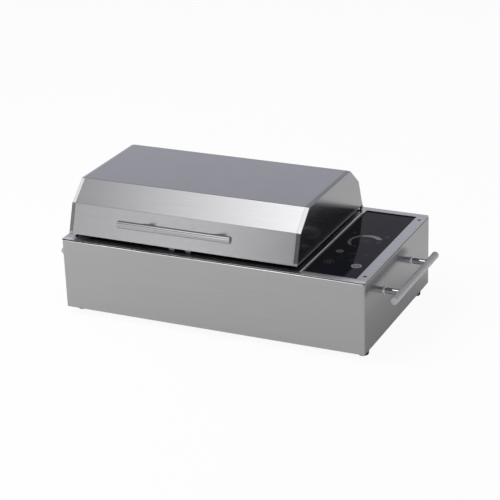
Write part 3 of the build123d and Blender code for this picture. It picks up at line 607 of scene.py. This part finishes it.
grateLook = {
    "tone": (0.022, 0.022, 0.024),
    "spread": 0.25,
    "roughness": 0.42,
    "roughSpread": 0.25,
    "shine": 0.5,
    "skinScale": 1500.0,
    "cloudScale": 25.0,
    "depth": 0.00006,
}


def dressWell():
    dress(brushedSteel("wellSteel", wellLook), "cook_well", "element_supports")
    dress(plainMetal("trayMetal", trayLook), "drip_tray")
    dress(plainMetal("elementTube", tubeLook), "heating_element", "temperature_sensor")
    dress(moulded("bushCeramic", ceramicLook), "well_bushes")
    dress(moulded("grateCoating", grateLook), "grate")


dressWell()
print("well dressed")


# Grate: the cast shape with rounded ribs

grateShape = {
    "merge": 0.01 * mm,
    "flat": 0.5,                  # faces that turn less than this are one, in degrees
    "sharp": 40,                  # edges that turn more than this are rounded
    "round": 1.1 * mm,
    "roundSteps": 3,
}


def buildGrate():
    pick(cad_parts["grate"])
    bpy.ops.object.duplicate()
    grate = bpy.context.object
    grate.name = "castGrate"
    grate.data.name = "castGrate"
    bpy.ops.object.mode_set(mode="EDIT")
    bpy.ops.mesh.select_all(action="SELECT")
    bpy.ops.mesh.remove_doubles(threshold=grateShape["merge"])
    bpy.ops.mesh.dissolve_limited(angle_limit=math.radians(grateShape["flat"]))
    bpy.ops.object.mode_set(mode="OBJECT")
    rounding = grate.modifiers.new("rounding", "BEVEL")
    rounding.width = grateShape["round"]
    rounding.segments = grateShape["roundSteps"]
    rounding.limit_method = "ANGLE"
    rounding.angle_limit = math.radians(grateShape["sharp"])
    bpy.ops.object.modifier_apply(modifier="rounding")
    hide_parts("grate")
    finished(grate, moulded("castGrate", grateLook), "grate")


buildGrate()
print("grate built")


# Power side, inside the housing

blackPlasticLook = dict(
    gasketLook, tone=(0.025, 0.025, 0.027), roughness=0.45, shine=0.4, skinScale=500.0)
palePlasticLook = dict(blackPlasticLook, tone=(0.62, 0.62, 0.57))
boardLook = dict(blackPlasticLook, tone=(0.015, 0.13, 0.05), roughness=0.3, skinScale=260.0, spread=0.3)
coreLook = dict(platedLook, tone=(0.22, 0.12, 0.05), toneTwo=(0.3, 0.2, 0.1), metal=0.6, roughness=0.45)
canLook = dict(
    platedLook, tone=(0.12, 0.14, 0.22), toneTwo=(0.16, 0.18, 0.27), metal=0.2, roughness=0.35)
brassLook = dict(platedLook, tone=(0.55, 0.38, 0.14), toneTwo=(0.65, 0.47, 0.2), roughness=0.28)
padLook = dict(blackPlasticLook, tone=(0.08, 0.08, 0.085), roughness=0.85)
sleeveLook = dict(palePlasticLook, tone=(0.6, 0.56, 0.48), roughness=0.6, skinScale=1200.0)


def dressPowerSide():
    dress(
        moulded("blackPlastic", blackPlasticLook),
        "panel_carrier", "cord_gland", "relays", "thermal_limiter", "display_module")
    dress(moulded("palePlastic", palePlasticLook), "board_terminals", "terminal_block")
    dress(moulded("boardLacquer", boardLook), "power_board", "touch_board")
    dress(plainMetal("coreMetal", coreLook), "transformer")
    dress(plainMetal("canSleeve", canLook), "capacitors")
    dress(plainMetal("brass", brassLook), "element_terminals", "earth_stud")
    dress(moulded("keyPads", padLook), "touch_keys")
    dress(moulded("wireSleeve", sleeveLook), "mains_wires", "element_wires", "ribbon_cable")


dressPowerSide()
print("power side dressed")


# Cord gland: hexagonal collar, fluted dome nut and a sealing ring round an empty bore

glandShape = {
    "bore": 4.25 * mm,
    "sides": 48,
    "collarSides": 6,
    "collarShare": 0.36,          # the collar's part of what stands out of the wall
    "collarInner": (0.5 * mm, 0.6 * mm),    # its chamfer at the wall, along and across
    "collarOuter": 0.8 * mm,
    "domeShare": 0.86,            # the dome's radius over the collar's
    "domeEdge": 0.4 * mm,
    "domeStraight": 0.45,         # the share of its length before it curves in
    "domeSteps": 8,
    "domeRim": 0.6 * mm,
    "domeWall": 2 * mm,
    "flutes": 24,
    "fluteSides": 4,
    "fluteDepth": 0.45 * mm,
    "fluteFrom": (0.2 * mm, 1.5 * mm),      # past the collar, and outside the seal
    "seal": 6.2 * mm,
    "sealDepth": 1.4 * mm,
    "sealBack": 1 * mm,
    # Two points of its lip, each in from the outer end and in from the seal's radius
    "sealLip": ((0.9 * mm, 0.3 * mm), (0.3 * mm, 1.0 * mm)),
    "sealMouth": 0.6 * mm,
    "threadWall": 2.2 * mm,
    "threadEdge": 0.5 * mm,
    "threadPast": 0.1 * mm,
}


def fluteCap(cap, start):
    # Shallow grooves round the dome, by its vertices' angle
    shape = glandShape
    beyond, outside = shape["fluteFrom"]
    edited = bmesh.new()
    edited.from_mesh(cap.data)
    for vertex in edited.verts:
        radius = math.hypot(vertex.co.x, vertex.co.z)
        if vertex.co.y > start + beyond and radius > shape["seal"] + outside:
            turn = math.atan2(vertex.co.z, vertex.co.x) * shape["flutes"]
            pull = 1 - shape["fluteDepth"] * (0.5 + 0.5 * math.cos(turn)) / radius
            vertex.co.x *= pull
            vertex.co.z *= pull
    edited.to_mesh(cap.data)
    edited.free()


def buildGland():
    shape = glandShape
    low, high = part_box("cord_gland")
    middle = (low + high) / 2
    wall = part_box("housing_back")[1].y
    inner, outer = low.y, high.y
    bore, rim = shape["bore"], shape["seal"]

    wide = (high.x - low.x) / 2
    start = wall + (outer - wall) * shape["collarShare"]
    along, across = shape["collarInner"]
    edge = shape["collarOuter"]
    collar = ringBetween("glandCollar", shape["collarSides"], [
        (wall, bore), (wall, wide - across), (wall + along, wide), (start - edge, wide),
        (start, wide - edge), (start, bore), (wall, bore)])

    dome = wide * shape["domeShare"]
    inside = bore + shape["domeWall"]
    length = outer - start
    edge = shape["domeEdge"]
    stations = [(start, inside), (start, dome - edge), (start + edge, dome)]
    for step in range(shape["domeSteps"] + 1):
        turn = math.radians(90) * step / shape["domeSteps"]
        straight = shape["domeStraight"] * length
        stations.append((
            start + straight + (length - straight) * math.sin(turn),
            dome - (dome - rim - shape["domeRim"]) * (1 - math.cos(turn))))
    sealed = outer - shape["sealDepth"]
    stations += [(outer, rim), (sealed, rim), (sealed, inside), (start, inside)]
    cap = ringBetween("glandDome", shape["flutes"] * shape["fluteSides"], stations)
    fluteCap(cap, start)

    back = start + shape["sealBack"]
    lip = [(outer - along, rim - across) for along, across in shape["sealLip"]]
    seal = ringBetween("glandSeal", shape["sides"], [
        (back, bore), (back, lip[0][1]), *lip, (outer - shape["sealMouth"], bore), (back, bore)])

    thread = rim + shape["threadWall"]
    edge = shape["threadEdge"]
    past = wall + shape["threadPast"]
    stem = ringBetween("glandStem", shape["sides"], [
        (inner, bore), (inner, thread - edge), (inner + edge, thread), (past, thread), (past, bore),
        (inner, bore)])

    gland = joined([collar, cap, seal, stem], "glandBody")
    gland.location = (middle.x, 0, middle.z)
    settle(gland)
    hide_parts("cord_gland")
    finished(gland, moulded("glandPlastic", blackPlasticLook), "root")


buildGland()
print("gland built")


# Glass touch panel and its printed marks

glassLook = {
    "tone": (0.0007, 0.0011, 0.0048),
    "roughness": 0.045,
    "smearScale": 14.0,
    "smearSpan": (0.5, 0.75),
    "smear": 0.03,
    "shine": 0.066,
    "mirrorTone": (0.66, 0.74, 1.0),
    "bend": 1.5,
}

inkLook = {
    "wornScale": 240.0,
    "wornSpan": (0.25, 0.75),
    "wornTone": (0.9, 1.08),
    "roughness": 0.35,
    "roughSpread": 0.1,
    "shine": 0.1,
}

inks = {
    "inkFaint": (0.030, 0.030, 0.034),
    "inkDim": (0.070, 0.070, 0.075),
    "inkMid": (0.115, 0.115, 0.118),
    "inkBright": (0.29, 0.30, 0.32),
    "inkPower": (0.205, 0.195, 0.265),
    "inkDark": (0.012, 0.012, 0.014),
}

# Sizes on the panel are in millimetres from its middle, angles in degrees
sliderShape = {
    "middle": (1.5, 10.0),
    "radius": 25.5,
    "from": 228.0,
    "to": 125.0,
    "steps": 72,
    "width": 5.4,
    "tipWidth": 0.5,              # the low tip's share of the width
    "tipGrowth": 5,               # full widths gained per length of the slider
    "tickFrom": 122.0,
    "tickTo": 44.0,
    "ticks": 19,
    "tickWidth": 1.35,
    "tickShort": 4.4,
    "tickLong": 8.6,
    "tickSwell": (0.12, 0.62),    # where on a half wave the ticks' length starts, and how far it goes
    "tickLean": 6.0,
}

# Ink, kind, then the kind's own sizes
panelMarks = [
    ("inkDim", "ring", (23.3, 14.2), 3.5, 0.9),
    ("inkDim", "text", (0.6, 12.0), "350", 8.0),
    ("inkDim", "text", (-29.0, 42.0), "10", 5.2),
    ("inkMid", "text", (28.0, 40.5), "90", 5.2),
    ("inkDim", "bar", (-11.0, -10.5), (-8.4, -10.5), 1.0),
    ("inkDim", "bar", (-7.6, -12.7), (-4.8, -12.7), 1.0),
    ("inkDim", "bar", (0.2, -14.5), (3.0, -14.5), 1.0),
    ("inkMid", "disc", (-22.6, -39.9), 6.5),
    ("inkFaint", "bar", (-26.0, -39.9), (-19.2, -39.9), 1.3),
    ("inkFaint", "ring", (23.0, -40.6), 8.0, 0.9),
    ("inkDim", "bar", (20.0, -40.6), (26.0, -40.6), 1.0),
    ("inkDim", "bar", (23.0, -43.6), (23.0, -37.6), 1.0),
    ("inkDim", "bar", (-5.4, -43.8), (6.1, -39.6), 0.8),
    ("inkDim", "bar", (6.2, -64.6), (13.1, -62.1), 0.8),
    ("inkDim", "bar", (5.8, -72.5), (10.4, -70.8), 0.8),
    ("inkDim", "bar", (14.9, -73.5), (22.5, -70.7), 0.8),
    ("inkFaint", "bar", (-15.9, -68.2), (-12.9, -51.5), 0.8),
    ("inkDim", "ring", (-23.0, -85.3), 7.8, 0.8),
    ("inkMid", "ring", (-23.0, -85.3), 3.2, 0.9),
    ("inkPower", "disc", (24.7, -87.4), 8.5),
    ("inkDark", "arc", (24.7, -87.4), 4.3, 1.5, 130.0, 410.0),
    ("inkDark", "bar", (24.7, -86.6), (24.7, -81.4), 1.5),
]

inkShape = {
    "sunk": 0.02 * mm,
    "proud": 0.04 * mm,
    "overDisc": 0.02 * mm,
    "overDiscs": ("inkDark", "inkFaint"),
    "sides": 48,
    "arcSteps": 40,
    "stroke": 0.02,
    "textScale": 1.38,            # font size over the height of its figures
}


def blackGlass():
    material, tap, place = startFinish("blackGlass")
    smear = place.noise(glassLook["smearScale"], 3.0).between(*glassLook["smearSpan"])
    closeFinish(tap, {
        "Base Color": glassLook["tone"],
        "Roughness": glassLook["roughness"] + smear * glassLook["smear"],
        "Specular IOR Level": glassLook["shine"],
        "Specular Tint": fourOf(glassLook["mirrorTone"]),
        "IOR": glassLook["bend"]})
    return material


def printedInk(name, tone):
    material, tap, place = startFinish(name)
    worn = place.noise(inkLook["wornScale"]).between(*inkLook["wornSpan"])
    dark, light = [[v * share for v in tone] for share in inkLook["wornTone"]]
    closeFinish(tap, {
        "Base Color": worn.blended(dark, light),
        "Roughness": inkLook["roughness"] + worn * inkLook["roughSpread"],
        "Specular IOR Level": inkLook["shine"]})
    return material


def inkDisc(at, radius):
    bpy.ops.mesh.primitive_circle_add(
        vertices=inkShape["sides"], radius=radius * mm, fill_type="NGON",
        location=(at[0] * mm, at[1] * mm, 0))
    return bpy.context.object


def inkRing(at, radius, width):
    ring = inkDisc(at, radius + width / 2)
    bpy.ops.object.mode_set(mode="EDIT")
    bpy.ops.mesh.select_all(action="SELECT")
    bpy.ops.mesh.inset(thickness=width * mm)
    bpy.ops.mesh.delete(type="FACE")
    bpy.ops.object.mode_set(mode="OBJECT")
    return ring


def inkBar(start, end, width):
    middle = ((start[0] + end[0]) / 2 * mm, (start[1] + end[1]) / 2 * mm, 0)
    bpy.ops.mesh.primitive_plane_add(size=1.0, location=middle)
    bar = bpy.context.object
    bar.scale = (math.dist(start, end) * mm, width * mm, 1)
    bar.rotation_euler = (0, 0, math.atan2(end[1] - start[1], end[0] - start[0]))
    return bar


def inkArc(at, radius, width, start, end, steps=inkShape["arcSteps"]):
    # A short stroke at the end angle, spun back round the middle
    inner, outer = at[0] + radius - width / 2, at[0] + radius + width / 2
    stroke = inkBar((inner, at[1]), (outer, at[1]), inkShape["stroke"])
    settle(stroke)
    middle = Vector((at[0] * mm, at[1] * mm, 0))
    bpy.ops.object.mode_set(mode="EDIT")
    bpy.ops.mesh.select_all(action="SELECT")
    bpy.ops.mesh.delete(type="ONLY_FACE")
    edited = bmesh.from_edit_mesh(stroke.data)
    spare = [v for v in edited.verts if v.co.y < middle.y]
    bmesh.ops.delete(edited, geom=spare, context="VERTS")
    turned = Matrix.Rotation(math.radians(end), 4, "Z")
    turned = Matrix.Translation(middle) @ turned @ Matrix.Translation(-middle)
    bmesh.ops.transform(edited, matrix=turned, verts=edited.verts)
    bmesh.update_edit_mesh(stroke.data)
    bpy.ops.mesh.select_all(action="SELECT")
    bpy.ops.mesh.spin(steps=steps, angle=math.radians(end - start), center=middle, axis=(0, 0, 1))
    bpy.ops.object.mode_set(mode="OBJECT")
    return stroke


def inkText(at, words, height):
    bpy.ops.object.text_add(location=(at[0] * mm, at[1] * mm, 0))
    text = bpy.context.object
    text.data.body = words
    text.data.size = height * inkShape["textScale"] * mm
    text.data.align_x = "CENTER"
    text.data.align_y = "CENTER"
    bpy.ops.object.convert(target="MESH")
    return bpy.context.object


def inkTrack(shape):
    # The slider's dim crescent, narrower at its low tip
    track = inkArc(
        shape["middle"], shape["radius"], shape["width"], shape["to"], shape["from"], shape["steps"])
    for vertex in track.data.vertices:
        across = vertex.co.x / mm - shape["middle"][0]
        up = vertex.co.y / mm - shape["middle"][1]
        turn = math.degrees(math.atan2(up, across)) % 360
        share = (turn - shape["to"]) / (shape["from"] - shape["to"])
        thin = min(1.0, shape["tipWidth"] + shape["tipGrowth"] * (1 - share))
        reach = math.hypot(across, up)
        wanted = shape["radius"] + (reach - shape["radius"]) * thin
        vertex.co.x = (shape["middle"][0] + across * wanted / reach) * mm
        vertex.co.y = (shape["middle"][1] + up * wanted / reach) * mm
    return track


def inkTicks(shape):
    # Brighter ticks that grow towards the slider's high end
    ticks = []
    swellStart, swell = shape["tickSwell"]
    middle = shape["middle"]
    for step in range(shape["ticks"]):
        share = step / (shape["ticks"] - 1)
        turn = math.radians(shape["tickFrom"] + (shape["tickTo"] - shape["tickFrom"]) * share)
        leant = turn - math.radians(shape["tickLean"])
        grown = math.sin(math.pi * min(1.0, swellStart + swell * share))
        length = shape["tickShort"] + (shape["tickLong"] - shape["tickShort"]) * grown
        inner, outer = shape["radius"] - length / 2, shape["radius"] + length / 2
        ticks.append(inkBar(
            (middle[0] + inner * math.cos(turn), middle[1] + inner * math.sin(turn)),
            (middle[0] + outer * math.cos(leant), middle[1] + outer * math.sin(leant)),
            shape["tickWidth"]))
    return ticks


def buildMarks():
    # Each ink's marks are one piece, a thin plate that stands a little proud of the glass
    low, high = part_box("control_glass")
    makers = {"disc": inkDisc, "ring": inkRing, "bar": inkBar, "arc": inkArc, "text": inkText}
    drawn = {name: [] for name in inks}
    for ink, kind, *sizes in panelMarks:
        clearSelection()
        drawn[ink].append(makers[kind](*sizes))
    clearSelection()
    drawn["inkMid"].append(inkTrack(sliderShape))
    drawn["inkBright"] += inkTicks(sliderShape)
    for name, pieces in drawn.items():
        for piece in pieces:
            settle(piece)
        printed = joined(pieces, name.replace("ink", "mark"))
        raised = inkShape["overDisc"] if name in inkShape["overDiscs"] else 0.0
        printed.location = ((low.x + high.x) / 2, (low.y + high.y) / 2, high.z - inkShape["sunk"])
        settle(printed)
        thick = printed.modifiers.new("thick", "SOLIDIFY")
        thick.thickness = inkShape["sunk"] + inkShape["proud"] + raised
        thick.offset = 1.0
        bpy.ops.object.modifier_apply(modifier="thick")
        finished(printed, printedInk(name, inks[name]), "root")


dress(blackGlass(), "control_glass")
buildMarks()
print("glass dressed and marked")


# Studio, in metres: pale floor, a lamp for the plain light, and cards that the steel mirrors

studio = {
    "floorSize": 60.0,
    "floorTone": (0.86, 0.86, 0.86),
    "floorGlow": 0.94,
    "floorMirrorGlow": 0.16,
    "skyGlow": 0.42,
    "skyMirrorLow": (0.665, 0.665, 0.735),
    "skyMirrorHigh": (0.22, 0.22, 0.25),
    "skyStep": (0.36, 0.48),
}

lampLook = {
    "place": (-0.85, -0.7, 1.85),
    "aim": (0.0, 0.0, 0.1),
    "size": (1.5, 1.2),
    "glow": 5.0,
}

# Each card: where it is, what it faces, its size, and its glow along its own width
cards = {
    "overheadSweep": {
        "place": (-0.6, -0.45, 1.6), "aim": (-0.6, -0.45, 0.0), "size": (2.2, 1.0),
        "glow": (
            (0.0, 2.5), (0.09, 2.5), (0.17, 0.6), (0.30, 0.62), (0.45, 1.45), (0.60, 2.4), (0.69, 2.5),
            (0.79, 1.45), (1.0, 1.2))},
    "frontCard": {
        "place": (-1.36, -2.70, 1.3), "aim": (0.0, 0.0, 0.14), "size": (1.1, 2.3),
        "glow": (
            (0.0, 0.93), (0.3, 0.97), (0.52, 1.15), (0.64, 1.5), (0.73, 2.2), (0.76, 1.5), (0.79, 0.25),
            (1.0, 0.15))},
    "rightFlag": {
        "place": (-0.25, -3.0, 0.78), "aim": (0.0, 0.0, 0.14), "size": (0.9, 1.0),
        "glow": ((0.0, 0.16), (1.0, 0.16))},
    "backFlag": {
        "place": (1.27, 2.72, 1.15), "aim": (0.2, 0.0, 0.14), "size": (1.5, 1.3),
        "glow": ((0.0, 0.3), (1.0, 0.3))},
    "leftFlag": {
        "place": (-2.15, -2.05, 0.6), "aim": (0.0, 0.0, 0.14), "size": (0.8, 1.0),
        "glow": ((0.0, 0.42), (1.0, 0.42))},
}


def turnedTo(place, aim):
    # The turn that points a card's or lamp's face from its place to its aim
    return (Vector(aim) - Vector(place)).to_track_quat("-Z", "Y").to_euler()


def seenBy(tap, ray):
    return tap.node("ShaderNodeLightPath", {}, {}, ray)


def buildFloor():
    # White paper: it glows to the camera, and less to mirrors
    clearSelection()
    bpy.ops.mesh.primitive_plane_add(size=studio["floorSize"], location=(0, 0, 0))
    floor = bpy.context.object
    floor.name = "floor"
    material, tap = startFinish("floorPaper")[:2]
    diffuse = tap.node("ShaderNodeBsdfDiffuse", {}, {"Color": fourOf(studio["floorTone"])})
    glow = tap.node("ShaderNodeEmission", {}, {"Color": (1, 1, 1, 1), "Strength": 1.0})
    share = (seenBy(tap, "Is Camera Ray") * studio["floorGlow"]
             + seenBy(tap, "Is Glossy Ray") * studio["floorMirrorGlow"])
    mixed = tap.node("ShaderNodeMixShader", {}, {0: share, 1: diffuse, 2: glow})
    tap.node("ShaderNodeOutputMaterial", {}, {"Surface": mixed})
    floor.data.materials.append(material)


def buildSky():
    # White to the camera, in two tones to mirrors, and an even grey light for the rest
    world = bpy.data.worlds.new("studioSky")
    bpy.context.scene.world = world
    world.use_nodes = True
    world.node_tree.nodes.clear()
    tap = Tap(world.node_tree)
    direction = tap.node("ShaderNodeTexCoord", {}, {}, "Generated")
    height = tap.node("ShaderNodeSeparateXYZ", {}, {"Vector": direction}, "Z")
    step = height.between(*studio["skyStep"])
    mirrored = step.blended(studio["skyMirrorLow"], studio["skyMirrorHigh"])
    lit = seenBy(tap, "Is Glossy Ray").blended([studio["skyGlow"]] * 3, mirrored)
    tone = seenBy(tap, "Is Camera Ray").blended(lit, (1, 1, 1))
    sky = tap.node("ShaderNodeBackground", {}, {"Color": tone, "Strength": 1.0})
    tap.node("ShaderNodeOutputWorld", {}, {"Surface": sky})


def buildLamp():
    # Its power is the glow over the whole of its face
    lamp = bpy.data.lights.new("keyLamp", "AREA")
    lamp.shape = "RECTANGLE"
    lamp.size, lamp.size_y = lampLook["size"]
    lamp.energy = lampLook["glow"] * math.pi * lamp.size * lamp.size_y
    holder = bpy.data.objects.new("keyLamp", lamp)
    bpy.context.scene.collection.objects.link(holder)
    holder.location = lampLook["place"]
    holder.rotation_euler = turnedTo(lampLook["place"], lampLook["aim"])
    holder.visible_camera = False
    holder.visible_glossy = False


def buildCard(name, look):
    # A card that only mirrors see; its glow runs from its left edge to its right
    clearSelection()
    bpy.ops.mesh.primitive_plane_add(size=1.0, location=look["place"])
    card = bpy.context.object
    card.name = name
    card.rotation_euler = turnedTo(look["place"], look["aim"])
    card.scale = (*look["size"], 1)
    material, tap, place = startFinish(name + "Paper")
    along = tap.node("ShaderNodeSeparateXYZ", {}, {"Vector": place}, "X") + 0.5
    top = max(value for at, value in look["glow"])
    stops = [(at, (value / top, value / top, value / top, 1)) for at, value in look["glow"]]
    tone = tap.node("ShaderNodeValToRGB", {"stops": stops}, {"Fac": along})
    glow = tap.node("ShaderNodeEmission", {}, {"Color": tone, "Strength": top})
    tap.node("ShaderNodeOutputMaterial", {}, {"Surface": glow})
    card.data.materials.append(material)
    card.visible_camera = False
    card.visible_diffuse = False
    card.visible_shadow = False


buildFloor()
buildSky()
buildLamp()
for cardName, cardLook in cards.items():
    buildCard(cardName, cardLook)
bpy.context.scene.view_settings.view_transform = "Standard"
print("studio built")
